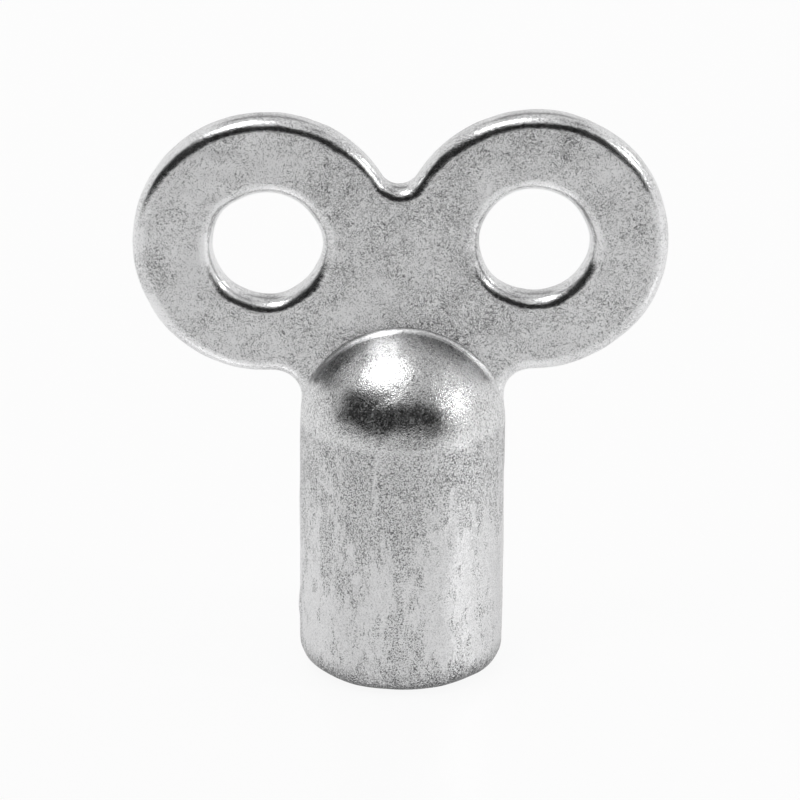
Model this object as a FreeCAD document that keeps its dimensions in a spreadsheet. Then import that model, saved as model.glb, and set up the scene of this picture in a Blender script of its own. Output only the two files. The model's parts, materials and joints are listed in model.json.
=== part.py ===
"""Radiator bleed key: a flat two-eyed bow set in a slot across a domed barrel with a square socket, and the
filler metal that joins them. Millimetres, +Z up along the barrel, origin at the centre of the barrel's
mouth, X across the bow, Y through its thickness."""

import FreeCAD, Part
import Sketcher

import os
from math import atan2, pi, sqrt

# Driving dimensions, in millimetres (fillet_reach in degrees).
SIZES = {
    "barrel_diameter": 10.0,
    "mouth_rounding": 0.95,    # outer edge of the barrel's open end
    "socket_flats": 5.2,       # across flats, for a 5 mm square vent spindle
    "socket_depth": 10.0,
    "socket_corner": 0.2,
    "socket_lead_in": 0.2,
    "socket_end_wall": 1.2,    # metal left between the socket's end and the bow's tang
    "tang_depth": 1.4,         # how far the tang reaches below the dome's base
    "bow_thickness": 1.8,
    "bow_edge_rounding": 0.7,
    "lobe_diameter": 12.8,
    "eye_spacing": 12.7,
    "eye_bore": 5.2,
    "valley_rise": 2.8,        # lowest point between the lobes, above the eyes' centres
    "shoulder_radius": 1.35,   # from each lobe down into the neck
    "neck_rise": 1.25,         # straight side of the neck, above the dome's base
    "neck_inset": 0.1,         # how far the bow's neck stands inside the barrel's side
    "filler_gap": 0.1,         # filler metal between the bow and each wall of its slot
    "fillet_radius": 0.35,     # of the bead where the bow's faces leave the dome
    "fillet_reach": 120.0,     # angle that each bead covers round the dome
}

# Heights on the barrel's axis. The tang's end is over the socket's end, and the straight barrel ends at the
# dome's base, where a half ball stands on it.
TANG_END = "Sizes.socket_depth + Sizes.socket_end_wall"
DOME_BASE = TANG_END + " + Sizes.tang_depth"
DOME_TOP = DOME_BASE + " + Sizes.barrel_diameter / 2"

TOUCH = 1e-6                   # nearer than this counts as the same place
HALF_TURN = pi
UP = FreeCAD.Vector(0, 0, 1)
ON_X_AXIS, ON_Z_AXIS = -1, -2  # Sketcher's numbers for the sketch's own axes
START, END, CENTRE = 1, 2, 3   # Sketcher's numbers for the points of an edge
ORIGIN = (ON_X_AXIS, START)


def v(x, y):
    return FreeCAD.Vector(x, y, 0)


def circle(centre, radius):
    return Part.Circle(v(*centre), UP, radius)


def arc(centre, radius, start, end):
    """Arc that runs anticlockwise from angle start to angle end."""
    return Part.ArcOfCircle(circle(centre, radius), start, end)


def line(a, b):
    return Part.LineSegment(v(*a), v(*b))


def make_sheet(doc):
    """The spreadsheet that every size is bound to: name in column A, value in column B."""
    sheet = doc.addObject("Spreadsheet::Sheet", "Sizes")
    for row, (name, value) in enumerate(SIZES.items(), start=1):
        sheet.set(f"A{row}", name)
        sheet.set(f"B{row}", str(value))
        sheet.setAlias(f"B{row}", name)
    doc.recompute()
    return sheet


def tang_end(size):
    return size["socket_depth"] + size["socket_end_wall"]


def dome_base(size):
    return tang_end(size) + size["tang_depth"]


def dome_top(size):
    return dome_base(size) + size["barrel_diameter"] / 2


def new_body(doc, label):
    body = doc.addObject("PartDesign::Body", label)
    body.Label = label
    body.AllowCompound = True
    return body


def origin_plane(body, role):
    return next(f for f in body.Origin.OriginFeatures if f.Role == role)


def new_sketch(body, name, plane, edges):
    sketch = body.newObject("Sketcher::SketchObject", name)
    sketch.AttachmentSupport = [(origin_plane(body, plane), "")]
    sketch.MapMode = "FlatFace"
    sketch.addGeometry(edges, False)
    return sketch


def relate(sketch, *relations):
    for relation in relations:
        sketch.addConstraint(Sketcher.Constraint(*relation))


def drive(sketch, name, formula, *relation):
    """Adds one dimension and binds it to a formula of the sheet's cells."""
    index = sketch.addConstraint(Sketcher.Constraint(*relation))
    sketch.renameConstraint(index, name)
    sketch.setExpression(f"Constraints.{name}", formula)


def bow_layout(size):
    """Where the bow's arcs meet. Each shoulder is tangent to the neck and a lobe, which sets the eyes' height.
    The valley is tangent to both lobes and its lowest point is given, which sets its radius."""
    lobe = size["lobe_diameter"] / 2
    eye_x = size["eye_spacing"] / 2
    neck = size["barrel_diameter"] / 2 - size["neck_inset"]
    shoulder_x = neck + size["shoulder_radius"]
    shoulder_z = dome_base(size) + size["neck_rise"]
    drop = sqrt((lobe + size["shoulder_radius"]) ** 2 - (shoulder_x - eye_x) ** 2)
    crest = lobe - size["valley_rise"]
    valley_rise = (eye_x ** 2 - crest ** 2) / (2 * crest)
    return {
        "lobe": lobe,
        "eye_x": eye_x,
        "eye_z": shoulder_z + drop,
        "neck": neck,
        "valley_z": shoulder_z + drop + valley_rise,
        "valley_radius": valley_rise - size["valley_rise"],
        "valley_angle": atan2(valley_rise, eye_x),
        "shoulder_x": shoulder_x,
        "shoulder_z": shoulder_z,
        "shoulder_angle": atan2(-drop, shoulder_x - eye_x),
    }


def draw_bow_outline(body, size):
    """Two lobes joined by a rounded valley, rounded shoulders down to a neck, and the two eyes."""
    at = bow_layout(size)
    lobe, x, z = at["lobe"], at["eye_x"], at["eye_z"]
    neck, base = at["neck"], dome_base(size)
    up, down = at["valley_angle"], at["shoulder_angle"]
    edges = [
        arc((-x, z), lobe, up, HALF_TURN - down),
        arc((0, at["valley_z"]), at["valley_radius"], HALF_TURN + up, 2 * HALF_TURN - up),
        arc((x, z), lobe, down, HALF_TURN - up),
        arc((at["shoulder_x"], at["shoulder_z"]), size["shoulder_radius"], HALF_TURN + down, HALF_TURN),
        line((neck, at["shoulder_z"]), (neck, base)),
        line((neck, base), (-neck, base)),
        line((-neck, base), (-neck, at["shoulder_z"])),
        arc((-at["shoulder_x"], at["shoulder_z"]), size["shoulder_radius"], 0, -down),
        circle((-x, z), size["eye_bore"] / 2),
        circle((x, z), size["eye_bore"] / 2),
        Part.Point(v(0, z + size["valley_rise"])),
    ]
    left, valley, right, shoulder, side, foot, far_side, far_shoulder, eye, far_eye, low = range(len(edges))
    sketch = new_sketch(body, "bow_outline", "XZ_Plane", edges)
    relate(
        sketch,
        ("Tangent", left, START, valley, START),
        ("Tangent", valley, END, right, END),
        ("Tangent", right, START, shoulder, START),
        ("Tangent", shoulder, END, side, START),
        ("Coincident", side, END, foot, START),
        ("Coincident", foot, END, far_side, START),
        ("Tangent", far_side, END, far_shoulder, START),
        ("Tangent", far_shoulder, END, left, END),
        ("Vertical", side),
        ("Vertical", far_side),
        ("Symmetric", foot, START, foot, END, ON_Z_AXIS),
        ("Symmetric", left, CENTRE, right, CENTRE, ON_Z_AXIS),
        ("Equal", left, right),
        ("Equal", shoulder, far_shoulder),
        ("Equal", eye, far_eye),
        ("Coincident", eye, CENTRE, left, CENTRE),
        ("Coincident", far_eye, CENTRE, right, CENTRE),
        ("PointOnObject", low, START, valley),
        ("PointOnObject", low, START, ON_Z_AXIS),
    )
    drive(sketch, "spacing", "Sizes.eye_spacing", "DistanceX", left, CENTRE, right, CENTRE, 2 * x)
    drive(sketch, "lobe", "Sizes.lobe_diameter / 2", "Radius", left, lobe)
    drive(sketch, "valley", "Sizes.valley_rise", "DistanceY", right, CENTRE, low, START, size["valley_rise"])
    drive(sketch, "neck_side", "Sizes.neck_rise", "DistanceY", foot, START, shoulder, CENTRE, size["neck_rise"])
    drive(sketch, "shoulder", "Sizes.shoulder_radius", "Radius", shoulder, size["shoulder_radius"])
    drive(sketch, "eye", "Sizes.eye_bore / 2", "Radius", eye, size["eye_bore"] / 2)
    drive(sketch, "neck", "Sizes.barrel_diameter / 2 - Sizes.neck_inset",
          "DistanceX", *ORIGIN, foot, START, neck)
    drive(sketch, "foot", DOME_BASE, "DistanceY", *ORIGIN, foot, START, base)
    return sketch


def draw_block(body, name, plane, low, high, half_width, formulas):
    """Rectangle centred on the barrel's axis, between two heights, with a formula for each of its sizes."""
    corners = [(-half_width, low), (half_width, low), (half_width, high), (-half_width, high)]
    edges = [line(corners[i], corners[(i + 1) % 4]) for i in range(4)]
    sketch = new_sketch(body, name, plane, edges)
    bottom, side, top, far_side = range(4)
    relate(
        sketch,
        *(("Coincident", i, END, (i + 1) % 4, START) for i in range(4)),
        ("Vertical", side),
        ("Vertical", far_side),
        ("Symmetric", bottom, START, bottom, END, ON_Z_AXIS),
        ("Horizontal", top),
    )
    drive(sketch, "low_end", formulas["low"], "DistanceY", *ORIGIN, bottom, END, low)
    drive(sketch, "high_end", formulas["high"], "DistanceY", *ORIGIN, top, START, high)
    drive(sketch, "half_width", formulas["half_width"], "DistanceX", *ORIGIN, bottom, END, half_width)
    return sketch


def draw_slot(body, size):
    """Side view of the slot across the dome: the bow's thickness and a gap each side, open at the top."""
    formulas = {
        "low": TANG_END + " - Sizes.filler_gap",
        "high": DOME_TOP,
        "half_width": "Sizes.bow_thickness / 2 + Sizes.filler_gap",
    }
    low = tang_end(size) - size["filler_gap"]
    high = dome_top(size)
    half_width = size["bow_thickness"] / 2 + size["filler_gap"]
    return draw_block(body, "slot_side_view", "YZ_Plane", low, high, half_width, formulas)


def make_bow_plate(doc, size):
    """Bow: plate with rounded edges and two eyes, whose neck goes on down as a square-edged tang."""
    body = new_body(doc, "bow_plate")
    outline = draw_bow_outline(body, size)
    plate = body.newObject("PartDesign::Pad", "plate")
    plate.Profile = outline
    plate.SideType = "Symmetric"
    plate.setExpression("Length", "Sizes.bow_thickness")
    doc.recompute()

    face = size["bow_thickness"] / 2
    foot = dome_base(size)
    rims = [
        f"Edge{number}"
        for number, edge in enumerate(plate.Shape.Edges, start=1)
        if abs(abs(edge.CenterOfMass.y) - face) < TOUCH and edge.BoundBox.ZMax > foot + TOUCH
    ]
    rounding = body.newObject("PartDesign::Fillet", "rounded_edges")
    rounding.Base = (plate, rims)
    rounding.setExpression("Radius", "min(Sizes.bow_edge_rounding; Sizes.bow_thickness * 0.49)")

    formulas = {
        "low": TANG_END,
        "high": DOME_BASE,
        "half_width": "Sizes.barrel_diameter / 2 - Sizes.neck_inset",
    }
    low = tang_end(size)
    neck = size["barrel_diameter"] / 2 - size["neck_inset"]
    tang = body.newObject("PartDesign::Pad", "tang")
    tang.Profile = draw_block(body, "tang_outline", "XZ_Plane", low, foot, neck, formulas)
    tang.SideType = "Symmetric"
    tang.setExpression("Length", "Sizes.bow_thickness")
    doc.recompute()
    return body


def draw_barrel_profile(body, size):
    """Half section of the solid barrel: mouth, rounded rim, side and quarter circle of the dome."""
    radius, rim, base = size["barrel_diameter"] / 2, size["mouth_rounding"], dome_base(size)
    edges = [
        line((0, 0), (radius - rim, 0)),
        arc((radius - rim, rim), rim, -HALF_TURN / 2, 0),
        line((radius, rim), (radius, base)),
        arc((0, base), radius, 0, HALF_TURN / 2),
        line((0, base + radius), (0, 0)),
    ]
    mouth, rounding, side, dome, axis = range(len(edges))
    sketch = new_sketch(body, "barrel_profile", "XZ_Plane", edges)
    relate(
        sketch,
        ("Coincident", mouth, START, *ORIGIN),
        ("Horizontal", mouth),
        ("Tangent", mouth, END, rounding, START),
        ("Tangent", rounding, END, side, START),
        ("Vertical", side),
        ("Tangent", side, END, dome, START),
        ("Coincident", dome, END, axis, START),
        ("Coincident", axis, END, mouth, START),
        ("Vertical", axis),
        ("PointOnObject", dome, CENTRE, ON_Z_AXIS),
    )
    drive(sketch, "radius", "Sizes.barrel_diameter / 2", "DistanceX", *ORIGIN, side, START, radius)
    drive(sketch, "rim", "Sizes.mouth_rounding", "Radius", rounding, rim)
    drive(sketch, "base", DOME_BASE, "DistanceY", *ORIGIN, dome, CENTRE, base)
    return sketch


def draw_square(body, size):
    """Square of the socket, centred on the barrel's axis."""
    half = size["socket_flats"] / 2
    corners = [(-half, -half), (half, -half), (half, half), (-half, half)]
    edges = [line(corners[i], corners[(i + 1) % 4]) for i in range(4)]
    sketch = new_sketch(body, "socket_square", "XY_Plane", edges)
    relate(
        sketch,
        *(("Coincident", i, END, (i + 1) % 4, START) for i in range(4)),
        ("Horizontal", 0),
        ("Vertical", 1),
        ("Vertical", 3),
        ("Symmetric", 0, START, 2, START, *ORIGIN),
        ("Equal", 0, 1),
    )
    drive(sketch, "flats", "Sizes.socket_flats", "DistanceX", 0, START, 0, END, 2 * half)
    return sketch


def make_socket_barrel(doc, size):
    """Barrel: domed bar with a blind square socket in its mouth and a slot for the bow across its dome."""
    body = new_body(doc, "socket_barrel")
    profile = draw_barrel_profile(body, size)
    bar = body.newObject("PartDesign::Revolution", "domed_bar")
    bar.Profile = profile
    bar.ReferenceAxis = (profile, ["V_Axis"])
    bar.Angle = 360
    doc.recompute()
    solid_volume = bar.Shape.Volume

    socket = body.newObject("PartDesign::Pocket", "socket")
    socket.Profile = draw_square(body, size)
    socket.Reversed = True
    socket.setExpression("Length", "Sizes.socket_depth")
    doc.recompute()
    if socket.Shape.Volume >= solid_volume:
        raise RuntimeError("the socket cut nothing")

    half = size["socket_flats"] / 2
    corners = [
        f"Edge{number}"
        for number, edge in enumerate(socket.Shape.Edges, start=1)
        if abs(abs(edge.CenterOfMass.x) - half) < TOUCH and abs(abs(edge.CenterOfMass.y) - half) < TOUCH
    ]
    corner = body.newObject("PartDesign::Fillet", "socket_corners")
    corner.Base = (socket, corners)
    corner.setExpression("Radius", "Sizes.socket_corner")
    doc.recompute()

    mouth = [
        f"Edge{number}"
        for number, edge in enumerate(corner.Shape.Edges, start=1)
        if edge.BoundBox.ZMax < TOUCH and edge.Length < size["socket_flats"]
    ]
    lead_in = body.newObject("PartDesign::Chamfer", "socket_lead_in")
    lead_in.Base = (corner, mouth)
    lead_in.setExpression("Size", "Sizes.socket_lead_in")
    doc.recompute()

    slot = body.newObject("PartDesign::Pocket", "bow_slot")
    slot.Profile = draw_slot(body, size)
    slot.Midplane = True
    slot.setExpression("Length", "Sizes.barrel_diameter")
    doc.recompute()
    if slot.Shape.Volume >= lead_in.Shape.Volume:
        raise RuntimeError("the bow's slot cut nothing")
    return body


def draw_fillet_section(body, size):
    """Three-sided section of the bead where the plate's front face meets the dome. Its concave arc has its
    centre one fillet radius off both the face and the ball."""
    ball, bead = size["barrel_diameter"] / 2, size["fillet_radius"]
    face, base = -size["bow_thickness"] / 2, dome_base(size)
    centre_rise = sqrt((ball + bead) ** 2 - (face - bead) ** 2)
    corner_rise = sqrt(ball ** 2 - face ** 2)
    turn_in = atan2(centre_rise, face - bead)
    edges = [
        line((face, base + corner_rise), (face, base + centre_rise)),
        arc((face - bead, base + centre_rise), bead, turn_in - HALF_TURN, 0),
        arc((0, base), ball, atan2(corner_rise, face), turn_in),
        line((0, base), (face, base)),
    ]
    on_face, hollow, on_ball, axis = range(len(edges))
    sketch = new_sketch(body, "fillet_section", "YZ_Plane", edges)
    sketch.toggleConstruction(axis)
    relate(
        sketch,
        ("Vertical", on_face),
        ("Tangent", hollow, END, on_face, END),
        ("Tangent", hollow, START, on_ball, END),
        ("Coincident", on_ball, START, on_face, START),
        ("PointOnObject", on_ball, CENTRE, ON_Z_AXIS),
        ("Coincident", axis, START, on_ball, CENTRE),
        ("Horizontal", axis),
        ("PointOnObject", axis, END, on_face),
    )
    drive(sketch, "ball", "Sizes.barrel_diameter / 2", "Radius", on_ball, ball)
    drive(sketch, "bead", "Sizes.fillet_radius", "Radius", hollow, bead)
    drive(sketch, "face", "Sizes.bow_thickness / 2", "DistanceX", on_face, START, *ORIGIN, -face)
    drive(sketch, "base", DOME_BASE, "DistanceY", *ORIGIN, on_ball, CENTRE, base)
    return sketch


def draw_outside(body, size):
    """Half section of the space round the barrel's top: everything beyond its side and its dome."""
    radius, base = size["barrel_diameter"] / 2, dome_base(size)
    edges = [
        line((radius, 0), (2 * radius, 0)),
        line((2 * radius, 0), (2 * radius, base + 2 * radius)),
        line((2 * radius, base + 2 * radius), (0, base + 2 * radius)),
        line((0, base + 2 * radius), (0, base + radius)),
        arc((0, base), radius, 0, HALF_TURN / 2),
        line((radius, base), (radius, 0)),
    ]
    floor, wall, ceiling, axis, dome, side = range(len(edges))
    sketch = new_sketch(body, "outside_of_barrel", "XZ_Plane", edges)
    relate(
        sketch,
        ("Coincident", floor, END, wall, START),
        ("Coincident", wall, END, ceiling, START),
        ("Coincident", ceiling, END, axis, START),
        ("Coincident", axis, END, dome, END),
        ("Tangent", dome, START, side, START),
        ("Coincident", side, END, floor, START),
        ("Vertical", wall),
        ("Horizontal", ceiling),
        ("Vertical", axis),
        ("Vertical", side),
        ("PointOnObject", dome, CENTRE, ON_Z_AXIS),
        ("PointOnObject", dome, END, ON_Z_AXIS),
        ("PointOnObject", floor, START, ON_X_AXIS),
        ("PointOnObject", floor, END, ON_X_AXIS),
    )
    drive(sketch, "radius", "Sizes.barrel_diameter / 2", "Radius", dome, radius)
    drive(sketch, "base", DOME_BASE, "DistanceY", *ORIGIN, dome, CENTRE, base)
    drive(sketch, "reach", "Sizes.barrel_diameter", "DistanceX", *ORIGIN, floor, END, 2 * radius)
    drive(sketch, "rise", DOME_BASE + " + Sizes.barrel_diameter",
          "DistanceY", *ORIGIN, ceiling, START, base + 2 * radius)
    return sketch


def make_joint_filler(doc, size, bow):
    """Filler metal: what the bow leaves free of its slot, flush with the barrel, and a bead front and back."""
    body = new_body(doc, "filler_blank")
    block = body.newObject("PartDesign::Pad", "slot_fill")
    block.Profile = draw_slot(body, size)
    block.SideType = "Symmetric"
    block.setExpression("Length", "Sizes.barrel_diameter")
    doc.recompute()
    block_volume = block.Shape.Volume

    outside = draw_outside(body, size)
    trim = body.newObject("PartDesign::Groove", "trim_to_barrel")
    trim.Profile = outside
    trim.ReferenceAxis = (outside, ["V_Axis"])
    trim.Angle = 360
    doc.recompute()
    if trim.Shape.Volume >= block_volume:
        raise RuntimeError("the filler was not trimmed to the barrel")

    section = draw_fillet_section(body, size)
    bead = body.newObject("PartDesign::Revolution", "front_bead")
    bead.Profile = section
    bead.ReferenceAxis = (section, ["Axis0"])
    bead.Midplane = True
    bead.setExpression("Angle", "Sizes.fillet_reach * 1 deg")
    doc.recompute()

    both = body.newObject("PartDesign::Mirrored", "both_beads")
    both.Originals = [bead]
    both.MirrorPlane = (origin_plane(body, "XZ_Plane"), [""])
    body.Tip = both
    doc.recompute()
    if both.Shape.Volume <= bead.Shape.Volume:
        raise RuntimeError("the back bead is missing")

    filler = doc.addObject("Part::Cut", "joint_filler")
    filler.Label = "joint_filler"
    filler.Base = body
    filler.Tool = bow
    doc.recompute()
    return filler


def check(doc, parts):
    for item in doc.Objects:
        if "Invalid" in item.State or "Error" in item.State:
            raise RuntimeError(f"{item.Label} failed to build")
    for part in parts:
        if part.Shape.isNull() or not part.Shape.isValid() or not part.Shape.Solids:
            raise RuntimeError(f"{part.Label} has no valid solid")


def main():
    doc = FreeCAD.newDocument("radiator_bleed_key")
    make_sheet(doc)
    bow = make_bow_plate(doc, SIZES)
    barrel = make_socket_barrel(doc, SIZES)
    filler = make_joint_filler(doc, SIZES, bow)
    parts = [bow, barrel, filler]
    doc.recompute()
    check(doc, parts)
    os.makedirs("parts", exist_ok=True)
    for part in parts:
        part.Shape.exportStep(f"parts/{part.Label}.step")
        print(part.Label, len(part.Shape.Solids), "solids", round(part.Shape.Volume, 3), "mm3")


main()
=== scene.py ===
"""Radiator bleed key: plated bow, barrel and joint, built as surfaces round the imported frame.

Lengths in the settings are metres. The surface functions work in millimetres, in the frame's own axes:
X across the bow, Y through its thickness, Z up the barrel. The origin is the centre of the barrel's mouth.
"""

import json
import math
from functools import reduce
from types import SimpleNamespace

import bmesh
import bpy
import numpy as np
from bpy.props import FloatProperty, FloatVectorProperty, PointerProperty
from mathutils import Matrix, Vector


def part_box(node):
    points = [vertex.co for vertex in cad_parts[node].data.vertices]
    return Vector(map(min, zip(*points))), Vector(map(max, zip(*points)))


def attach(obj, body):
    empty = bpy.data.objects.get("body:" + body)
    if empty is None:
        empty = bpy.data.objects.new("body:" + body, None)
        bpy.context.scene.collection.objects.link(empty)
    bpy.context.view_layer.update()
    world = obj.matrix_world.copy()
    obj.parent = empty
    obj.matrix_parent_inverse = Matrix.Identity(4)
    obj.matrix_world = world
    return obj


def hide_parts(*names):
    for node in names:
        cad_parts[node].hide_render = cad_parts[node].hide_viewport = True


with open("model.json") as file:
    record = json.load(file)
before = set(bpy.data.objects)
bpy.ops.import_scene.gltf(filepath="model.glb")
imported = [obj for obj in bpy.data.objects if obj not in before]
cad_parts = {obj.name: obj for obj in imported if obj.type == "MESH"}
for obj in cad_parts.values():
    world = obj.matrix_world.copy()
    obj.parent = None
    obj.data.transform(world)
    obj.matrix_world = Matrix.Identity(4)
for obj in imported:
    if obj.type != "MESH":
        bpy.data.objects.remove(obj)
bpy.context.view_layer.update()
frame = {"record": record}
BARREL_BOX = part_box("socket_barrel")
BOW_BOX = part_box("bow_plate")
EYE = next(m for m in frame["record"]["mounts"] if m["name"] == "eye_right")
SOCKET = next(o for o in frame["record"]["physics"]["openings"] if o["name"] == "spindle_socket")

bl_info = {
    "name": "Radiator Bleed Key",
    "version": (1, 0, 0),
    "blender": (4, 5, 0),
    "location": "3D View > Sidebar > Bleed Key",
    "description": "Builds a plated radiator bleed key on its packed frame",
    "category": "Add Mesh",
}

MM = 0.001
BODY = "root"
WELD = 1e-6  # points nearer than this are one point, in metres
SHARP = math.radians(32)  # an edge that turns more than this stays sharp

# How the real key is off true, in millimetres and radians
BOW_LEAN = 0.0147
BOW_DROP = 0.075
BARREL_ASIDE = 0.085
BARREL_SHRINK = 0.006
UNEVEN_SEED = 11
UNEVEN_WAVELENGTHS = (5.2, 2.3, 1.1)
UNEVEN_HEIGHTS = (0.012, 0.009, 0.0035)
# Lumps round each eye, by side: waves in a full turn, where they start, height as a share of the radius
EYE_LUMPS = {
    -1: ((0, 1.57, 0.03), (3, 0.4, 0.02), (5, 1.9, 0.02), (8, 0.7, 0.012)),
    1: ((0, 1.57, 0.045), (3, 2.4, 0.014), (6, 2.6, 0.012)),
}
LUMP_REACH = 1.6  # how far the lumps spread from the eye's edge

# Burr where the casting's gate was trimmed, low on the barrel's left
BURR_BEARING = math.radians(182)
BURR_HEIGHT = 2.9
BURR_HALF_WIDTH = 0.34
BURR_HALF_HEIGHT = 0.62
BURR_PROUD = 0.075

# Scratches on the front face: start x and z, end x and z, width, all in millimetres
DARK_MARKS = (
    (-11.97, 21.44, -11.78, 20.92, 0.07),
    (-11.78, 20.92, -11.34, 20.87, 0.07),
    (-11.34, 20.87, -11.25, 21.23, 0.08),
    (-7.43, 18.02, -7.0, 17.09, 0.07),
    (4.02, 15.7, 4.16, 15.85, 0.07),
)
PALE_MARK = (8.4, 18.05, 9.2, 17.55, 0.06)


# ---------------------------------------------------------------------------------------------- settings


def length(name, description, default):
    return FloatProperty(
        name=name, description=description, default=default, unit="LENGTH", subtype="DISTANCE"
    )


def share(name, description, default):
    return FloatProperty(
        name=name, description=description, default=default, min=0.0, max=1.0, subtype="FACTOR"
    )


def amount(name, description, default):
    return FloatProperty(name=name, description=description, default=default, min=0.0)


def angle(name, description, degrees):
    return FloatProperty(
        name=name, description=description, default=math.radians(degrees), unit="ROTATION", subtype="ANGLE"
    )


def colour(name, description, default):
    return FloatVectorProperty(name=name, description=description, default=default, size=3, subtype="COLOR")


class KeySizes(bpy.types.PropertyGroup):
    """Sizes of the key, taken from its frame where the frame says them"""

    barrel_diameter: length("Barrel diameter", "Across the barrel's side", BARREL_BOX[1].x - BARREL_BOX[0].x)
    barrel_height: length("Barrel height", "From the mouth to the top of the dome", BARREL_BOX[1].z)
    mouth_rounding: length("Mouth rounding", "Outer edge of the open end", 0.95 * MM)
    socket_flats: length("Socket flats", "Across the square socket", 5.2 * MM)
    socket_depth: length("Socket depth", "From the mouth to the socket's end", SOCKET["box_m"][1][2])
    socket_corner: length("Socket corner", "Radius in the socket's corners", 0.2 * MM)
    socket_lead_in: length("Socket lead-in", "Chamfer round the socket's mouth", 0.2 * MM)
    bow_width: length("Bow width", "Across both lobes", BOW_BOX[1].x - BOW_BOX[0].x)
    bow_thickness: length("Bow thickness", "Through the plate", BOW_BOX[1].y - BOW_BOX[0].y)
    bow_foot: length("Bow foot", "Height of the plate's foot inside the barrel", BOW_BOX[0].z)
    bow_rounding: length("Bow rounding", "Edges of the plate and of its eyes", 0.7 * MM)
    eye_x: length("Eye place", "From the middle to an eye's centre", EYE["pos_m"][0])
    eye_z: length("Eye height", "From the mouth to the eyes' centres", EYE["pos_m"][2])
    eye_radius: length("Eye radius", "At the eye's narrowest", EYE["dims"]["r_mm"] * MM)
    valley_rise: length("Valley rise", "Lowest point between the lobes, above the eyes' centres", 2.8 * MM)
    shoulder_radius: length("Shoulder radius", "From each lobe down into the neck", 1.35 * MM)
    neck_inset: length("Neck inset", "How far the neck stands inside the barrel's side", 0.1 * MM)
    joint_radius: length("Joint radius", "Fillet between the bow and the dome", 0.38 * MM)


class KeyFinish(bpy.types.PropertyGroup):
    """Look of the plated metal"""

    metal: colour("Metal", "Clean plating", (0.9, 0.9, 0.905))
    tarnish: colour("Tarnish", "Plating in the darker grain", (0.12, 0.12, 0.123))
    face_roughness: share("Face roughness", "Tumbled flat faces of the bow", 0.42)
    edge_roughness: share("Edge roughness", "Polished edges and fillets", 0.18)
    dome_roughness: share("Dome roughness", "Top of the barrel", 0.19)
    side_roughness: share("Side roughness", "Cast side of the barrel", 0.37)


class StudioSettings(bpy.types.PropertyGroup):
    """Camera, floor and light"""

    aim_height: length("Aim height", "Height of the point that the camera looks at", 14 * MM)
    distance: length("Distance", "From that point to the camera", 188.7 * MM)
    elevation: angle("Elevation", "Of the camera above the horizon", 20.99)
    turn: angle("Turn", "Of the camera round the key", -0.609)
    roll: angle("Roll", "Of the camera about its view", 0.39)
    offset_across: length("Offset across", "How far the view is moved across its picture", -0.04 * MM)
    offset_up: length("Offset up", "How far the view is moved up its picture", -0.526 * MM)
    lens: FloatProperty(name="Lens", description="Focal length in millimetres", default=175.86, min=1.0)
    floor_colour: colour("Floor", "Pale floor", (0.9, 0.9, 0.9))
    room_dark: share("Dark front", "Light from the dark front of the studio", 0.02)
    room_bright: amount("Pale walls", "Light from the studio's pale walls", 1.0)
    ceiling: amount("Ceiling", "Light from the studio's ceiling", 0.85)
    soft_light: amount("Soft light", "Light from the lamp overhead", 8.0)
    pool: amount("Floor lamp", "Watts of the lamp that lights the floor on the right", 0.035)
    window: amount("Window", "Light from the two small windows on the right", 24.0)


# ------------------------------------------------------------------------------------------- key's shape


def key_shape(sizes):
    """The key's dimensions in millimetres, and where the arcs of the bow's outline meet."""
    s = SimpleNamespace(**{name: getattr(sizes, name) / MM for name in KeySizes.__annotations__})
    s.barrel_radius = s.barrel_diameter / 2
    s.dome_base = s.barrel_height - s.barrel_radius
    s.half_thickness = s.bow_thickness / 2
    s.lobe_radius = s.bow_width / 2 - s.eye_x
    s.neck_x = s.barrel_radius - s.neck_inset
    s.shoulder_x = s.neck_x + s.shoulder_radius
    reach = s.lobe_radius + s.shoulder_radius
    s.shoulder_z = s.eye_z - math.sqrt(reach**2 - (s.shoulder_x - s.eye_x) ** 2)
    crest = s.lobe_radius - s.valley_rise
    climb = (s.eye_x**2 - crest**2) / (2 * crest)
    s.valley_z = s.eye_z + climb
    s.valley_radius = climb - s.valley_rise
    return s


def spread(first, last, count, ends=False):
    """count even steps from first to last, without the last one unless ends is set."""
    return np.linspace(first, last, count + (1 if ends else 0), endpoint=ends)


def mixed(a, b, share_of_b):
    """a where share_of_b is 0, b where it is 1, and a straight line between"""
    return a + (b - a) * share_of_b


def unevenness(points, seed, wavelengths, heights):
    """Gentle unevenness of a tumbled casting, in millimetres, for points as rows.

    The sum of plane sine waves in random directions, a dozen for each wavelength and each axis.
    """
    draw = np.random.default_rng(seed)
    moved = np.zeros_like(points)
    for wavelength, height in zip(wavelengths, heights):
        for axis in range(3):
            directions = draw.normal(size=(12, 3))
            directions /= np.linalg.norm(directions, axis=1)[:, None]
            phases = draw.uniform(0, 2 * math.pi, 12)
            waves = np.sin(points @ directions.T * (2 * math.pi / wavelength) + phases)
            moved[:, axis] += waves.sum(axis=1) * height / math.sqrt(6)
    return moved


def eased(x):
    """0 below 0, 1 above 1, and a smooth step between"""
    x = np.clip(x, 0, 1)
    return x * x * (3 - 2 * x)


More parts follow.
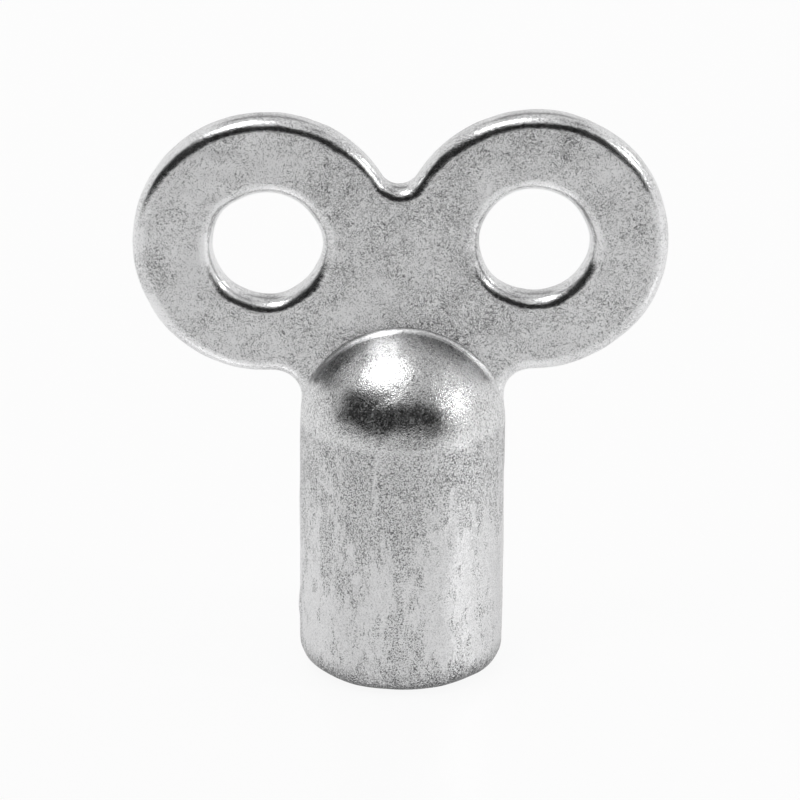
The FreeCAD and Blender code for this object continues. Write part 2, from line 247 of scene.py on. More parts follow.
def cast(points, s):
    """points as cast and joined: uneven, the barrel a little aside, the bow lower on the left, eyes lumpy.

    The bow's share of the change goes from none at the dome's base to all of it near the dome's top. It is a
    small turn in its own plane and a drop. The barrel's share is a small step aside and a slight narrowing.
    """
    moved = points + unevenness(points, UNEVEN_SEED, UNEVEN_WAVELENGTHS, UNEVEN_HEIGHTS)
    bow = eased((points[:, 2] - s.dome_base) / 4)
    turned = BOW_LEAN * bow * (points[:, 2] - s.barrel_height)
    moved[:, 0] -= turned + (1 - bow) * (BARREL_SHRINK * points[:, 0] - BARREL_ASIDE)
    moved[:, 2] += bow * (BOW_LEAN * points[:, 0] - BOW_DROP)
    for side, lumps in EYE_LUMPS.items():
        across = points[:, 0] - side * s.eye_x
        up = points[:, 2] - s.eye_z
        far = np.hypot(across, up)
        bearing = np.arctan2(up, across)
        nearness = eased(1 - (far - s.eye_radius) / LUMP_REACH)
        growth = sum(size * np.sin(waves * bearing + start) for waves, start, size in lumps) * nearness
        growth = growth * (far < s.lobe_radius) / np.maximum(far, 1e-6)
        moved[:, 0] += across * growth
        moved[:, 2] += up * growth
    return moved


# ------------------------------------------------------------------------------------------ mesh helpers


def grid_faces(rows, columns, wrap=False, first=0):
    """Four-cornered faces of a grid of points in rows. wrap joins the last column to the first."""
    across = np.arange(columns if wrap else columns - 1)
    down = np.arange(rows - 1)[:, None]
    a = down * columns + across
    b = down * columns + (across + 1) % columns
    return np.stack([a, b, b + columns, a + columns], axis=-1).reshape(-1, 4) + first


class Shell:
    """Grids of points in millimetres, gathered into one closed mesh"""

    def __init__(self):
        self.points = []
        self.faces = []
        self.polish = []
        self.count = 0

    def add(self, grid, polish=0.0, wrap=False):
        """Adds a grid shaped rows, columns, 3. polish is one number, or one for each point."""
        rows, columns = grid.shape[:2]
        self.points.append(grid.reshape(-1, 3))
        self.faces.extend(grid_faces(rows, columns, wrap, self.count).tolist())
        self.polish.append(np.broadcast_to(polish, (rows, columns)).reshape(-1).astype(float))
        self.count += rows * columns

    def add_lid(self, loop):
        """Adds one flat face on a loop of points."""
        self.points.append(loop)
        self.faces.append(list(range(self.count, self.count + len(loop))))
        self.polish.append(np.zeros(len(loop)))
        self.count += len(loop)

    def finish(self, name, node, slot, material, s):
        """Makes the mesh object: uneven as cast, doubles merged, faces outwards, smooth but for corners."""
        points = np.concatenate(self.points)
        mesh = bpy.data.meshes.new(name)
        mesh.from_pydata((cast(points, s) * MM).tolist(), [], self.faces)
        polish = mesh.attributes.new("polish", "FLOAT", "POINT")
        polish.data.foreach_set("value", np.concatenate(self.polish).astype(np.float32))
        tidy = bmesh.new()
        tidy.from_mesh(mesh)
        bmesh.ops.remove_doubles(tidy, verts=tidy.verts[:], dist=WELD)
        bmesh.ops.recalc_face_normals(tidy, faces=tidy.faces[:])
        for face in tidy.faces:
            face.smooth = True
        open_edges = sum(1 for edge in tidy.edges if not edge.is_manifold)
        tidy.to_mesh(mesh)
        tidy.free()
        if open_edges:
            raise RuntimeError(f"{name} isn't closed: {open_edges} edges")
        mesh.set_sharp_from_angle(angle=SHARP)
        mesh.materials.append(material)
        piece = bpy.data.objects.new(name, mesh)
        bpy.context.scene.collection.objects.link(piece)
        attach(piece, BODY)
        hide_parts(node)
        return piece


# ------------------------------------------------------------------------------------------ barrel's skin


def square_reach(bearings, half, corner):
    """Distance from the centre to the edge of a square with rounded corners, along each bearing.

    The bearing is folded into an eighth of a turn, where the ray meets the flat or the corner's circle.
    """
    folded = np.abs((bearings + math.pi / 4) % (math.pi / 2) - math.pi / 4)
    flat = half / np.cos(folded)
    centre = half - corner
    along = centre * (np.cos(folded) + np.sin(folded))
    rounded = along + np.sqrt(np.maximum(along**2 - 2 * centre**2 + corner**2, 0))
    return np.where(half * np.tan(folded) <= centre, flat, rounded)


def barrel_skin(s):
    """The barrel as one surface of bearing and row, from the socket's end to the top of the dome.

    Each row is a height and a reach for every bearing. The rows go over the socket's end, down its walls,
    round the mouth, up the side and over the dome. The side carries the trimmed gate's small burr.
    """
    bearings = spread(0, 2 * math.pi, 320)
    socket = square_reach(bearings, s.socket_flats / 2, s.socket_corner)
    lead_in = s.socket_lead_in
    mouth = square_reach(bearings, s.socket_flats / 2 + lead_in, s.socket_corner + lead_in)
    rim = np.full_like(bearings, s.barrel_radius - s.mouth_rounding)
    side = np.full_like(bearings, s.barrel_radius)
    reaches, heights = [], []

    def rows(first, last, low, high, count):
        for step in spread(0, 1, count):
            reaches.append(mixed(first, last, step))
            heights.append(mixed(low, high, step))

    rows(socket * 0, socket, s.socket_depth, s.socket_depth, 12)
    rows(socket, socket, s.socket_depth, lead_in, 26)
    rows(socket, mouth, lead_in, 0.0, 3)
    rows(mouth, rim, 0.0, 0.0, 8)
    for turn in spread(0, math.pi / 2, 14):
        reaches.append(rim + s.mouth_rounding * math.sin(turn))
        heights.append(s.mouth_rounding * (1 - math.cos(turn)))
    rows(side, side, s.mouth_rounding, s.dome_base, 96)
    for turn in spread(0, math.pi / 2, 78, ends=True):
        reaches.append(side * math.cos(turn))
        heights.append(s.dome_base + s.barrel_radius * math.sin(turn))

    reach = np.array(reaches)
    height = np.repeat(np.array(heights)[:, None], len(bearings), axis=1)
    sideways = (bearings - BURR_BEARING + math.pi) % (2 * math.pi) - math.pi
    sideways = sideways * s.barrel_radius / BURR_HALF_WIDTH
    upward = (height - BURR_HEIGHT) / BURR_HALF_HEIGHT
    on_side = reach > s.barrel_radius - 0.01
    reach = reach + BURR_PROUD * np.exp(-(sideways**2) - upward**4) * on_side
    return np.stack([reach * np.cos(bearings), reach * np.sin(bearings), height], axis=-1)


# -------------------------------------------------------------------------------------------- bow's skin


def half_outline(s):
    """The edge of the bow's flat face on its right half: points, outward directions and bearings for the eye.

    The path goes from the valley over the lobe, round the shoulder and down the neck to the foot. Each point
    has the bearing of its partner on the eye's edge, so that lines between the two don't cross.
    """
    inset = s.bow_rounding
    meet = math.atan2(s.eye_z - s.valley_z, s.eye_x)
    drop = math.atan2(s.shoulder_z - s.eye_z, s.shoulder_x - s.eye_x)
    points, outward, partner = [], [], []

    def arc(x, z, radius, first, last, count, sign, bearings=None):
        turns = spread(first, last, count)
        direction = np.stack([np.cos(turns), np.sin(turns)], axis=-1)
        path = np.array([x, z]) + radius * direction
        points.append(path)
        outward.append(direction * sign)
        if bearings is None:
            bearings = np.unwrap(np.arctan2(path[:, 1] - s.eye_z, path[:, 0] - s.eye_x))
        partner.append(bearings)

    arc(0, s.valley_z, s.valley_radius + inset, -math.pi / 2, meet, 18, -1)
    over_lobe = spread(math.pi + meet, drop, 150)
    arc(s.eye_x, s.eye_z, s.lobe_radius - inset, math.pi + meet, drop, 150, 1, over_lobe)
    low = math.radians(-134)
    round_shoulder = spread(drop, low, 34)
    shoulder = s.shoulder_radius + inset
    arc(s.shoulder_x, s.shoulder_z, shoulder, math.pi + drop, math.pi, 34, -1, round_shoulder)
    neck = s.neck_x - inset
    down = spread(s.shoulder_z, s.bow_foot, 10, ends=True)
    points.append(np.stack([np.full_like(down, neck), down], axis=-1))
    outward.append(np.tile([1.0, 0.0], (len(down), 1)))
    partner.append(spread(low, math.radians(-138), 10, ends=True))
    return np.concatenate(points), np.concatenate(outward), np.concatenate(partner)


def rounded_edge(s):
    """Profile of the bow's rounded edge: how far out from the flat face, and where through the thickness."""
    turns = spread(0, math.pi / 2, 10, ends=True)
    out = s.bow_rounding * np.sin(turns)
    through = -(s.half_thickness - s.bow_rounding) - s.bow_rounding * np.cos(turns)
    return np.concatenate([out, out[::-1]]), np.concatenate([through, -through[::-1]])


def bow_skin(s):
    """The bow as a shell, half by half, closed by a lid under its foot.

    Each flat face is straight lines from the eye's edge out to the outline. The rounded edge is one profile,
    carried round the outline and round the eye.
    """
    path, outward, partner = half_outline(s)
    foot_x = spread(path[-1, 0], 0, 12, ends=True)[1:]
    rise = spread(s.bow_foot, s.valley_z - s.valley_radius - s.bow_rounding, 64)[1:]
    foot = np.stack([foot_x, np.full_like(foot_x, s.bow_foot)], axis=-1)
    middle = np.stack([np.zeros_like(rise), rise], axis=-1)
    middle_of_foot = math.radians(-156)
    foot_bearings = mixed(partner[-1], middle_of_foot, spread(0, 1, 12, ends=True)[1:])
    level = np.arctan2(rise - s.eye_z, -s.eye_x) - 2 * math.pi * (rise > s.eye_z)
    start = np.clip((rise - s.bow_foot) / (s.eye_z - s.bow_foot), 0, 1)
    middle_bearings = np.where(rise < s.eye_z, mixed(middle_of_foot, -math.pi, start), level)
    loop = np.concatenate([path, foot, middle])
    bearings = np.concatenate([partner, foot_bearings, middle_bearings])
    loop = np.concatenate([loop, loop[:1]])
    bearings = np.concatenate([bearings, [bearings[0] - 2 * math.pi]])
    eye_edge = s.eye_radius + s.bow_rounding
    ring = np.stack([s.eye_x + eye_edge * np.cos(bearings), s.eye_z + eye_edge * np.sin(bearings)], axis=-1)
    lines = spread(0, 1, 30, ends=True)[:, None, None]
    face = mixed(ring[None], loop[None], lines)
    out, through = rounded_edge(s)
    facing = np.clip(5 * out / s.bow_rounding, 0, 1)

    def place(flat, y):
        return np.stack([flat[..., 0], np.broadcast_to(y, flat.shape[:-1]), flat[..., 1]], axis=-1)

    rim = place(path[:, None] + outward[:, None] * out[None, :, None], through[None, :])
    toward_eye = -np.stack([np.cos(bearings), np.sin(bearings)], axis=-1)
    wall = place(ring[:, None] + toward_eye[:, None] * out[None, :, None], through[None, :])
    mirror = np.array([-1.0, 1.0, 1.0])
    shell = Shell()
    for side in (np.ones(3), mirror):
        for y in (-s.half_thickness, s.half_thickness):
            shell.add(place(face, y) * side)
        shell.add(rim * side, polish=facing)
        shell.add(wall * side, polish=facing)
    front = place(np.concatenate([path[-1:], foot]), -s.half_thickness)
    back = place(np.concatenate([path[-1:], foot]), s.half_thickness)
    right = np.concatenate([front[::-1], rim[-1][1:-1], back[:-1]])
    left = np.concatenate([back[::-1], rim[-1][1:-1][::-1], front[:-1]]) * mirror
    shell.add_lid(np.concatenate([right, left]))
    return shell


# ------------------------------------------------------------------------------------------ joint's skin


def gap_to_bow(points, s):
    """Distance of each point from the bow's surface beside its neck and shoulders.

    The distances from the outline and from the face, less the edge rounding, join as for a rounded box.
    """
    across = np.abs(points[:, 0])
    shoulder = s.shoulder_radius - np.hypot(across - s.shoulder_x, points[:, 2] - s.shoulder_z)
    outline = np.where(points[:, 2] < s.shoulder_z, across - s.neck_x, shoulder) + s.bow_rounding
    face = np.abs(points[:, 1]) - s.half_thickness + s.bow_rounding
    outside = np.hypot(np.maximum(outline, 0), np.maximum(face, 0))
    return outside + np.minimum(np.maximum(outline, face), 0) - s.bow_rounding


def gap_to_barrel(points, s):
    """Distance of each point from the barrel's side or dome."""
    climb = np.maximum(points[:, 2] - s.dome_base, 0)
    return np.sqrt(points[:, 0] ** 2 + points[:, 1] ** 2 + climb**2) - s.barrel_radius


def slopes(gap, points, s, step=1e-4):
    """Direction in which a gap grows fastest at each point, by its change over a small step on each axis."""
    rise = [gap(points + axis * step, s) - gap(points - axis * step, s) for axis in np.eye(3)]
    return np.stack(rise, axis=-1) / (2 * step)


def roll_ball(points, radius, s):
    """Moves each point, by the shortest way, to where a ball of that radius touches both bow and barrel.

    Each round divides the two gaps' errors by their slopes, which is Newton's method in two directions.
    """
    for _ in range(24):
        gaps = np.stack([gap_to_bow(points, s), gap_to_barrel(points, s)], axis=-1) - radius[:, None]
        ways = np.stack([slopes(gap_to_bow, points, s), slopes(gap_to_barrel, points, s)], axis=1)
        square = ways @ ways.transpose(0, 2, 1) + 1e-9 * np.eye(2)
        points = points - (ways.transpose(0, 2, 1) @ np.linalg.solve(square, gaps[..., None]))[..., 0]
    return points


def joint_skin(s):
    """The fillet of filler metal all round the bow's root, as one surface of way round and way across.

    A ball rolls round the corner between bow and dome. Its arc between the two places that it touches is the
    skin, and two lines sunk in the bow and in the dome close it underneath. The ball's size wanders a little.
    The first path is a rounded oblong, and is then spaced evenly three times over.
    """
    round_way = spread(0, 2 * math.pi, 460)
    radius = s.joint_radius + 0.028 * np.sin(3 * round_way + 1) + 0.02 * np.sin(7 * round_way + 2)
    radius = radius + 0.012 * np.sin(17 * round_way) + 0.008 * np.sin(31 * round_way + 0.5)
    across = (s.neck_x + radius) * np.sign(np.cos(round_way)) * np.sqrt(np.abs(np.cos(round_way)))
    through = np.sign(np.sin(round_way)) * np.sqrt(np.abs(np.sin(round_way)))
    through = (s.half_thickness + radius) * through
    climb = np.sqrt(np.maximum((s.barrel_radius + radius) ** 2 - across**2 - through**2, 0.4))
    centres = roll_ball(np.stack([across, through, s.dome_base + climb], axis=-1), radius, s)
    for _ in range(3):
        ring = np.concatenate([centres, centres[:1]])
        walked = np.concatenate([[0], np.cumsum(np.linalg.norm(np.diff(ring, axis=0), axis=1))])
        even = spread(0, walked[-1], len(centres))
        centres = np.stack([np.interp(even, walked, ring[:, axis]) for axis in range(3)], axis=-1)
        centres = roll_ball(centres, radius, s)
    from_bow = -slopes(gap_to_bow, centres, s)
    from_dome = -slopes(gap_to_barrel, centres, s)
    between = np.arccos(np.clip((from_bow * from_dome).sum(axis=1), -1, 1))[:, None, None]
    crease = 0.36  # where the arc starts, so that the bead meets the bow at a slight angle
    steps = spread(crease, 1, 12, ends=True)[None, :, None]
    turned = np.sin((1 - steps) * between) * from_bow[:, None] + np.sin(steps * between) * from_dome[:, None]
    turned = turned / np.sin(between)
    proud = 0.014 * np.sin(math.pi * steps) ** 0.4  # how far the skin stands out of the corner's arc
    arc = centres[:, None] + turned * (radius[:, None, None] - proud)
    sunk = 0.16
    sunk_in_bow = arc[:, :1] + sunk * from_bow[:, None]
    sunk_in_dome = arc[:, -1:] + sunk * from_dome[:, None]
    section = np.concatenate([sunk_in_bow, arc, sunk_in_dome, sunk_in_bow], axis=1)
    return section.transpose(1, 0, 2)


# ------------------------------------------------------------------------------------------- shader maths


class Signal:
    """A socket of a material or world, so that arithmetic on it adds its Math nodes"""

    def __init__(self, recipe, socket):
        self.recipe = recipe
        self.socket = socket

    def math(self, operation, *values):
        return self.recipe.node("ShaderNodeMath", {"operation": operation}, dict(enumerate(values)))

    def __add__(self, other):
        return self.math("ADD", self, other)

    __radd__ = __add__

    def __mul__(self, other):
        return self.math("MULTIPLY", self, other)

    __rmul__ = __mul__

    def __sub__(self, other):
        return self.math("SUBTRACT", self, other)

    def __rsub__(self, other):
        return self.math("SUBTRACT", other, self)

    def __abs__(self):
        return self.math("ABSOLUTE", self)

    def least(self, other):
        return self.math("MINIMUM", self, other)

    def most(self, other):
        return self.math("MAXIMUM", self, other)

    def kept_in(self):
        """The signal kept between 0 and 1"""
        return self.recipe.node("ShaderNodeClamp", None, {0: self})

    def ramp(self, low, high, at_low=0.0, at_high=1.0):
        """Smooth step from at_low to at_high as the signal goes from low to high"""
        settings = {"interpolation_type": "SMOOTHSTEP"}
        sockets = {0: self, 1: low, 2: high, 3: at_low, 4: at_high}
        return self.recipe.node("ShaderNodeMapRange", settings, sockets)


class Recipe:
    """The nodes of one material or world"""

    def __init__(self, owner):
        owner.use_nodes = True
        self.tree = owner.node_tree
        self.tree.nodes.clear()

    def node(self, kind, settings=None, sockets=None, output=0):
        """Adds a node: its settings first, then a value or link for each socket. Gives one of its outputs."""
        made = self.tree.nodes.new(kind)
        for key, value in (settings or {}).items():
            setattr(made, key, value)
        for key, value in (sockets or {}).items():
            if isinstance(value, Signal):
                self.tree.links.new(value.socket, made.inputs[key])
            else:
                made.inputs[key].default_value = value
        return Signal(self, made.outputs[output]) if made.outputs else None

    def vector_math(self, operation, first, second, output=0):
        """A Vector Math node on two values. SCALE has a socket of its own for its number."""
        second_socket = 3 if operation == "SCALE" else 1
        sockets = {0: first, second_socket: second}
        return self.node("ShaderNodeVectorMath", {"operation": operation}, sockets, output)

    def part(self, axis, place):
        """The X, Y or Z of a place or direction"""
        return self.node("ShaderNodeSeparateXYZ", None, {0: place}, axis)

    def place(self):
        """The place on the piece, in millimetres"""
        metres = self.node("ShaderNodeTexCoord", output="Object")
        return self.vector_math("SCALE", metres, 1 / MM)

    def drawn_out(self, place, stretch, turn=(0, 0, 0), shift=(0, 0, 0)):
        """A place turned, then drawn out along its axes, so that a pattern on it is that much longer there"""
        sockets = {"Vector": place, "Location": shift, "Rotation": turn, "Scale": stretch}
        return self.node("ShaderNodeMapping", {"vector_type": "TEXTURE"}, sockets)

    def wandering(self, place, size, by):
        """A place moved about by cloudy noise, so that straight patterns on it bend"""
        moves = self.noise(place, size, 1.0, output="Color")
        return self.vector_math("ADD", place, self.vector_math("SCALE", moves, by))

    def noise(self, place, size, detail=2.0, roughness=0.5, output=0):
        """Cloudy noise from 0 to 1 with features of that size in millimetres"""
        sockets = {"Vector": place, "Scale": 1 / size, "Detail": detail, "Roughness": roughness}
        return self.node("ShaderNodeTexNoise", None, sockets, output)

    def mark(self, place, start, end, width):
        """A scratch: 1 on the line from start to end, and 0 beyond width of the line's nearest point"""
        along = Vector(end) - Vector(start)
        offset = self.vector_math("SUBTRACT", place, start)
        share_of_way = self.vector_math("DOT_PRODUCT", offset, along, "Value") * (1 / along.length_squared)
        walked = self.vector_math("SCALE", along, share_of_way.most(0.0).least(1.0))
        away = self.vector_math("DISTANCE", offset, walked, "Value")
        return away.ramp(0.3 * width, width, 1.0, 0.0)

    def plating(self, tone, finish):
        """Base colour between tarnish and clean metal, for a tone from 0 to 1"""
        sockets = {0: (0.8 * tone + 0.1).kept_in(), 6: rgba(finish.tarnish), 7: rgba(finish.metal)}
        return self.node("ShaderNodeMix", {"data_type": "RGBA"}, sockets, output=2)

    def bump(self, height, depth_mm, under=None):
        """Normal tilted by a height from 0 to 1 that stands for a depth in millimetres"""
        sockets = {"Strength": 1.0, "Distance": depth_mm * MM, "Height": height}
        if under is not None:
            sockets["Normal"] = under
        return self.node("ShaderNodeBump", None, sockets)

    def metal(self, base, roughness, normal):
        """Finishes a material as bare metal"""
        sockets = {"Base Color": base, "Roughness": roughness, "Metallic": 1.0, "Normal": normal}
        surface = self.node("ShaderNodeBsdfPrincipled", None, sockets)
        self.node("ShaderNodeOutputMaterial", None, {"Surface": surface})


def rgba(value):
    return (*value, 1.0)


def strongest(layers):
    """The highest of several signals at each place"""
    return reduce(Signal.most, layers)


# ------------------------------------------------------------------------------------------ key's finishes


def short_strokes(recipe, place, width, longer, turns, low, high):
    """Short strokes in several directions: drawn-out noise, cut off high, the strongest of all directions"""
    layers = []
    for number, turn in enumerate(turns):
        shift = (7 * number, 3 * number, number)
        along = recipe.drawn_out(place, (1, 1, longer), (0, math.radians(turn), 0), shift)
        layers.append(recipe.noise(along, width, 1.0).ramp(low, high))
    return strongest(layers)


def tumbled_plate(name, finish, s):
    """Satin flat faces with dark flecks, strokes and clouds, and bright edges by the polish attribute"""
    material = bpy.data.materials.new(name)
    recipe = Recipe(material)
    polish = recipe.node("ShaderNodeAttribute", {"attribute_name": "polish"}, output="Fac")
    place = recipe.place()
    bent = recipe.wandering(place, 0.9, 1.1)
    outer = abs(recipe.part("X", place) - 1.2).ramp(3.0, 10.5)  # 1 at the lobes' far sides, 0 in the middle
    clouds = recipe.noise(place, 2.4, 4.0, 0.65)
    fine = recipe.noise(place, 0.065, 1.0, 0.6)
    grit = recipe.noise(place, 0.15, 3.0, 0.75)
    flecks = grit.ramp(0.58, 0.7)
    strokes = short_strokes(recipe, bent, 0.06, 8.0, (8, 38, 67, 97, 128, 155), 0.58, 0.74)
    pale = short_strokes(recipe, bent, 0.055, 10.0, (23, 52, 83, 112, 141, 172), 0.58, 0.74)
    long_pale = short_strokes(recipe, bent, 0.05, 28.0, (14, 63, 105, 149), 0.64, 0.76)
    wavy = recipe.wandering(place, 0.3, 0.12)
    face = -(s.half_thickness + 0.01)
    marks = [
        recipe.mark(wavy, (x, face, z), (end_x, face, end_z), width)
        for x, z, end_x, end_z, width in (*DARK_MARKS, PALE_MARK)
    ]
    dents = strongest(marks[:-1])
    gleam = marks[-1]
    dull = 1 - polish
    dense = 1.1 + 0.1 * outer
    # The tone is higher at the lobes' far sides and in pale strokes, and lower in flecks and dark strokes
    tone = 0.84 + 0.16 * outer + 2.0 * (clouds - 0.5) - 0.6 * dents + 0.5 * gleam + 0.4 * long_pale
    tone = tone + (0.6 + 0.4 * dull) * (2.0 * (fine - 0.5) + 1.1 * (grit - 0.5)) * dense
    tone = tone - (0.4 + 0.6 * dull) * (0.4 * flecks + 0.65 * strokes) * dense + 0.5 * pale
    base = recipe.plating(tone, finish)
    worn = finish.face_roughness - 0.12 * pale + 0.25 * (clouds - 0.5)
    roughness = worn * dull + (finish.edge_roughness + 0.25 * (grit - 0.4)) * polish
    normal = recipe.bump(recipe.noise(place, 0.45, 2.0, 0.5), 0.016)
    normal = recipe.bump(grit, 0.01, normal)
    recipe.metal(base, roughness, normal)
    return material


def cast_barrel(name, finish, s):
    """Bright grained dome over a mottled side with smooth light patches and stippled dark ones, with painted
    shade on the side near its mouth and on its right
    """
    material = bpy.data.materials.new(name)
    recipe = Recipe(material)
    place = recipe.place()
    height = recipe.part("Z", place)
    ragged = recipe.noise(place, 0.5, 4.0, 0.65)
    dome = (height + 1.6 * (ragged - 0.5)).ramp(s.dome_base - 0.15, s.dome_base + 0.35)
    streaky = recipe.drawn_out(recipe.wandering(place, 2.0, 0.8), (1, 1, 3.2))
    patches = recipe.noise(streaky, 1.5, 5.0, 0.7)
    mottle = recipe.noise(streaky, 0.4, 3.0, 0.7)
    stipple = recipe.noise(place, 0.1, 3.0, 0.8)
    speck = recipe.noise(place, 0.06, 1.0, 0.5)
    bent = recipe.wandering(place, 1.2, 1.4)
    hairs = short_strokes(recipe, bent, 0.06, 9.0, (20, 75, 130, 160), 0.62, 0.74)
    # Patches are rough towards the dome and smooth on the right, with darker specks where they are rough
    upper = height.ramp(4.0, s.dome_base)
    # right is 1 on the barrel's right; it makes the patches there smoother, and its share in the side's tone
    # below is painted shade on that side
    right = recipe.part("X", place).ramp(1.4, 3.4)
    rough_patch = (patches + 0.6 * (mottle - 0.5) + 0.15 * upper - 0.07 * right).ramp(0.45, 0.61)
    side = 1 - dome
    rough_share = 0.75 * rough_patch + 0.25
    dark_specks = stipple.ramp(0.46, 0.62) * rough_share
    # Painted shade: speckled darkening of the side near the mouth, standing in for the shadow on the floor
    # under the barrel that its bottom rounding reflects
    mouth = height.ramp(0.2, 1.6, 1.2, 0.0) * stipple.ramp(0.25, 0.6)
    tone = 1.1 + 0.8 * (patches - 0.5) - (1.3 * dark_specks + 0.14 * right + mouth) * side
    tone = tone + dome * (4.2 * (stipple - 0.5) + 2.6 * (speck - 0.5) - 0.2 + 1.2 * (mottle - 0.5))
    tone = tone + (4.6 * (speck - 0.5) + 2.2 * (stipple - 0.5)) * side * rough_share + 0.45 * hairs
    base = recipe.plating(tone, finish)
    worn = finish.side_roughness + 0.14 * (rough_patch - 0.5)
    matt = recipe.noise(place, 0.09, 2.0, 0.7).ramp(0.52, 0.62)
    roughness = worn * side + (finish.dome_roughness + 0.3 * (mottle - 0.5) + 0.16 * matt) * dome
    normal = recipe.bump(recipe.noise(place, 0.6, 2.0), 0.018)
    relief = stipple * (0.4 * rough_patch * side + 0.6) + (0.6 * speck + 0.2 * mottle) * dome
    normal = recipe.bump(relief, 0.018, normal)
    recipe.metal(base, roughness, normal)
    return material


def bright_filler(name, finish):
    """Fine-grained satin filler metal, a little smoother towards the dome"""
    material = bpy.data.materials.new(name)
    recipe = Recipe(material)
    polish = recipe.node("ShaderNodeAttribute", {"attribute_name": "polish"}, output="Fac")
    place = recipe.place()
    grain = recipe.noise(place, 0.1, 2.0, 0.6)
    waves = recipe.noise(place, 0.5, 2.0, 0.5)
    tone = 0.95 + 1.6 * (grain - 0.5)
    base = recipe.plating(tone, finish)
    roughness = finish.face_roughness - 0.12 * polish + 0.2 * (grain - 0.5)
    normal = recipe.bump(grain, 0.008, recipe.bump(waves, 0.02))
    recipe.metal(base, roughness, normal)
    return material


# ------------------------------------------------------------------------------------------------- studio


def studio_light(studio):
    """World light by direction: a dark front, pale walls, a soft ceiling with one lamp, and two windows"""
    world = bpy.data.worlds.new("studio")
    bpy.context.scene.world = world
    recipe = Recipe(world)
    way = recipe.node("ShaderNodeTexCoord", output="Generated")
    up = recipe.part("Z", way)

    def toward(x, y, z, inner, outer):
        """1 within inner degrees of a direction, and 0 beyond outer degrees"""
        closeness = recipe.vector_math("DOT_PRODUCT", way, Vector((x, y, z)).normalized(), "Value")
        return closeness.ramp(math.cos(math.radians(outer)), math.cos(math.radians(inner)))

    front = toward(-0.3, -1, 0, 62, 82) * up.ramp(0.68, 0.78, 1.0, 0.0)
    back_band = toward(0, 1, 1, 16, 26)
    high = up.ramp(0.72, 0.86)
    walls = studio.room_bright * (1 - front) * (1 - 0.6 * back_band) + studio.room_dark * front
    shade_right = toward(0.62, -0.1, 0.8, 12, 24)
    light = walls * (1 - high) + studio.ceiling * high * (1 - 0.6 * shade_right)
    light = light + studio.soft_light * toward(-0.273, -0.234, 0.933, 4, 15)
    windows = toward(0.85, -0.28, 0.44, 2, 4) + 0.5 * toward(0.84, 0.295, 0.45, 2, 4)
    light = light + studio.window * windows
    shade = recipe.node("ShaderNodeBackground", None, {"Strength": light})
    recipe.node("ShaderNodeOutputWorld", None, {"Surface": shade})


def floor_paint(studio):
    """Pale floor that shows nearly white, keeps a light shadow, and can be seen through from below"""
    material = bpy.data.materials.new("pale_floor")
    recipe = Recipe(material)
    rays = {
        name: recipe.node("ShaderNodeLightPath", output=name)
        for name in ("Is Camera Ray", "Is Glossy Ray", "Is Transmission Ray")
    }
    below = recipe.node("ShaderNodeNewGeometry", output="Backfacing")
    reflected = rays["Is Glossy Ray"].most(rays["Is Transmission Ray"])
    seen = (0.92 * rays["Is Camera Ray"]).most(0.4 * reflected)  # how much plain white each kind of ray sees
    paint = recipe.node("ShaderNodeBsdfDiffuse", None, {"Color": rgba(studio.floor_colour)})
    gloss = recipe.node("ShaderNodeBsdfGlossy", None, {"Color": (1, 1, 1, 1), "Roughness": 0.34})
    paint = recipe.node("ShaderNodeMixShader", None, {0: 0.28, 1: paint, 2: gloss})
    white = recipe.node("ShaderNodeEmission", None, {"Color": (1, 1, 1, 1), "Strength": 1.0})
    surface = recipe.node("ShaderNodeMixShader", None, {0: seen, 1: paint, 2: white})
    clear = recipe.node("ShaderNodeBsdfTransparent")
    surface = recipe.node("ShaderNodeMixShader", None, {0: below, 1: surface, 2: clear})
    recipe.node("ShaderNodeOutputMaterial", None, {"Surface": surface})
    return material


def lay_floor(studio):
    """A wide flat floor just under the key's mouth"""
    half, drop = 1.5, 0.05 * MM
    mesh = bpy.data.meshes.new("floor")
    corners = [(-half, -half), (half, -half), (half, half), (-half, half)]
    mesh.from_pydata([(x, y, -drop) for x, y in corners], [], [(0, 1, 2, 3)])
    mesh.materials.append(floor_paint(studio))
    floor = bpy.data.objects.new("floor", mesh)
    bpy.context.scene.collection.objects.link(floor)


def light_floor(studio):
    """A small lamp low on the right, whose pool of light on the floor gives the barrel its upright gleam"""
    lamp = bpy.data.lights.new("floor_lamp", "SPOT")
    lamp.energy = studio.pool
    lamp.spot_size = math.radians(22)
    lamp.spot_blend = 0.6
    lamp.shadow_soft_size = 4 * MM
    holder = bpy.data.objects.new("floor_lamp", lamp)
    bpy.context.scene.collection.objects.link(holder)
    place = Vector((95, -32, 42)) * MM
    aim = Vector((17, -6, 0)) * MM
    turned = (aim - place).to_track_quat("-Z", "Y").to_matrix().to_4x4()
    holder.matrix_world = Matrix.Translation(place) @ turned


def set_camera(studio):
    """Camera on an orbit round the key: turned, raised and rolled, then moved in its own plane"""
    back = Vector(
        (
            math.sin(studio.turn) * math.cos(studio.elevation),
            -math.cos(studio.turn) * math.cos(studio.elevation),
            math.sin(studio.elevation),
        )
    )
    flat = Vector((0, 0, 1)).cross(back).normalized()
    above = back.cross(flat)
    right = flat * math.cos(studio.roll) + above * math.sin(studio.roll)
    up = above * math.cos(studio.roll) - flat * math.sin(studio.roll)
    data = bpy.data.cameras.new("camera")
    data.lens = studio.lens
    data.clip_start, data.clip_end = 0.01, 10
    camera = bpy.data.objects.new("camera", data)
    bpy.context.scene.collection.objects.link(camera)
    aim = Vector((0, 0, studio.aim_height)) + right * studio.offset_across + up * studio.offset_up
    turned = Matrix((right, up, back)).transposed().to_4x4()
    camera.matrix_world = Matrix.Translation(aim + back * studio.distance) @ turned
    bpy.context.scene.camera = camera


# ---------------------------------------------------------------------------------------------- operators


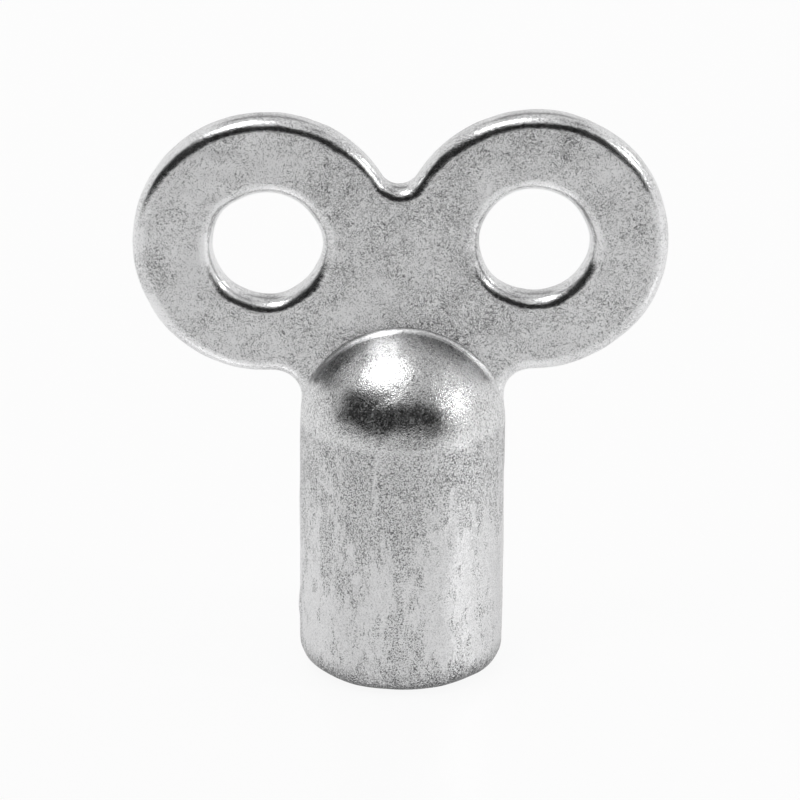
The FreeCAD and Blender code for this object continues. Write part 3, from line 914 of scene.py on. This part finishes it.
class BLEEDKEY_OT_barrel(bpy.types.Operator):
    """Makes the barrel with its square socket and domed top"""

    bl_idname = "bleedkey.barrel"
    bl_label = "Barrel"

    def execute(self, context):
        s = key_shape(context.scene.key_sizes)
        shell = Shell()
        shell.add(barrel_skin(s), wrap=True)
        material = cast_barrel("cast_barrel_plating", context.scene.key_finish, s)
        shell.finish("barrel", "socket_barrel", "plated_barrel", material, s)
        return {"FINISHED"}


class BLEEDKEY_OT_bow(bpy.types.Operator):
    """Makes the bow, the flat grip with two eyes"""

    bl_idname = "bleedkey.bow"
    bl_label = "Bow"

    def execute(self, context):
        s = key_shape(context.scene.key_sizes)
        shell = bow_skin(s)
        material = tumbled_plate("tumbled_bow_plating", context.scene.key_finish, s)
        shell.finish("bow", "bow_plate", "plated_bow", material, s)
        return {"FINISHED"}


class BLEEDKEY_OT_joint(bpy.types.Operator):
    """Makes the fillet of filler metal between the bow and the dome"""

    bl_idname = "bleedkey.joint"
    bl_label = "Joint"

    def execute(self, context):
        s = key_shape(context.scene.key_sizes)
        shell = Shell()
        skin = joint_skin(s)
        across = spread(0, 1, len(skin) - 1, ends=True)[:, None]
        shell.add(skin, polish=np.clip(2.2 * across - 0.5, 0, 1), wrap=True)
        material = bright_filler("bright_filler_metal", context.scene.key_finish)
        shell.finish("joint", "joint_filler", "plated_filler", material, s)
        return {"FINISHED"}


class BLEEDKEY_OT_stage(bpy.types.Operator):
    """Sets up the floor, the studio light and the camera"""

    bl_idname = "bleedkey.stage"
    bl_label = "Stage"

    def execute(self, context):
        studio = context.scene.key_studio
        lay_floor(studio)
        light_floor(studio)
        studio_light(studio)
        set_camera(studio)
        context.scene.view_settings.view_transform = "Standard"
        return {"FINISHED"}


class BLEEDKEY_PT_panel(bpy.types.Panel):
    """Lists the key's pieces and settings"""

    bl_idname = "BLEEDKEY_PT_panel"
    bl_label = "Radiator Bleed Key"
    bl_space_type = "VIEW_3D"
    bl_region_type = "UI"
    bl_category = "Bleed Key"

    def draw(self, context):
        for step in STEPS:
            self.layout.operator(step.bl_idname)
        for group in (context.scene.key_sizes, context.scene.key_finish, context.scene.key_studio):
            column = self.layout.column()
            for name in type(group).__annotations__:
                column.prop(group, name)


SETTINGS = {"key_sizes": KeySizes, "key_finish": KeyFinish, "key_studio": StudioSettings}
STEPS = (BLEEDKEY_OT_stage, BLEEDKEY_OT_barrel, BLEEDKEY_OT_bow, BLEEDKEY_OT_joint)


def register():
    for cls in (*SETTINGS.values(), *STEPS, BLEEDKEY_PT_panel):
        bpy.utils.register_class(cls)
    for name, group in SETTINGS.items():
        setattr(bpy.types.Scene, name, PointerProperty(type=group))


def unregister():
    for name in SETTINGS:
        delattr(bpy.types.Scene, name)
    for cls in reversed((*SETTINGS.values(), *STEPS, BLEEDKEY_PT_panel)):
        bpy.utils.unregister_class(cls)


def main():
    register()
    bpy.ops.bleedkey.stage()
    bpy.ops.bleedkey.barrel()
    bpy.ops.bleedkey.bow()
    bpy.ops.bleedkey.joint()


if __name__ == "__main__":
    main()
